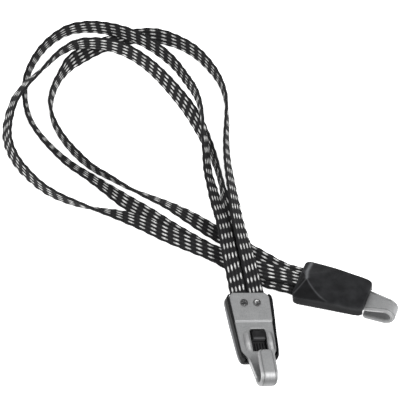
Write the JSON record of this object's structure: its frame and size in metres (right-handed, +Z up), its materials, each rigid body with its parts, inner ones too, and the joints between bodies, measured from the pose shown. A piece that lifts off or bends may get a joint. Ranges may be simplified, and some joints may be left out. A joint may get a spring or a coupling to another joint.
{
  "type": "elastic hook strap",
  "caption": "Elastic luggage strap: flat woven elastic bands side by side, clamped at both ends in a moulded cover with a bent flat steel hook.",
  "frame": {"origin": "standing surface, under the middle of the box around the two end fittings", "axes": "+Z up from the surface the strap lies on, +X to the right and +Y away from the viewer in the picture"},
  "size_m": [0.2241, 0.2461, 0.0203],
  "materials": {
    "webbing": "woven elastic, black with rows of white dashes",
    "steel": "matte grey plated sheet",
    "rivet": "crimped tubular rivet",
    "plastic": "satin black moulding"
  },
  "bodies": {
    "bands": {"band_left": "webbing", "band_middle": "webbing", "band_right": "webbing"},
    "end_a": {"hook_plate_a": "steel", "cover_a": "plastic", "rivet_left_a": "rivet", "rivet_right_a": "rivet", "backing_plate_a": "steel", "tail_left_a": "webbing", "tail_middle_a": "webbing", "tail_right_a": "webbing"},
    "end_b": {"hook_plate_b": "steel", "cover_b": "plastic", "rivet_left_b": "rivet", "rivet_right_b": "rivet", "backing_plate_b": "steel", "tail_left_b": "webbing", "tail_middle_b": "webbing", "tail_right_b": "webbing"},
    "catch_a": {"latch_a": "plastic"},
    "catch_b": {"latch_b": "plastic"}
  },
  "joints": [
    {"name": "stretch_a", "type": "slide", "parent": "bands", "child": "end_a", "axis": [0.1426, -0.9898, 0], "range_m": [0, 0.15], "stiffness_N_per_m": 300, "deforming": ["band_left", "band_middle", "band_right"]},
    {"name": "stretch_b", "type": "slide", "parent": "bands", "child": "end_b", "axis": [0.9298, -0.3681, 0], "range_m": [0, 0.15], "stiffness_N_per_m": 300, "deforming": ["band_left", "band_middle", "band_right"]},
    {"name": "catch_a", "type": "hinge", "parent": "end_a", "child": "catch_a", "pos_m": [-0.02814, -0.01734, 0.00625], "axis": [-0.9561, -0.1378, 0.2588], "range_deg": [0, 6], "stiffness_Nm_per_rad": 0.3},
    {"name": "catch_b", "type": "hinge", "parent": "end_b", "child": "catch_b", "pos_m": [0.02523, 0.01289, 0.01253], "axis": [0.3894, 0.9081, -0.154], "range_deg": [0, 6], "stiffness_Nm_per_rad": 0.3}
  ]
}
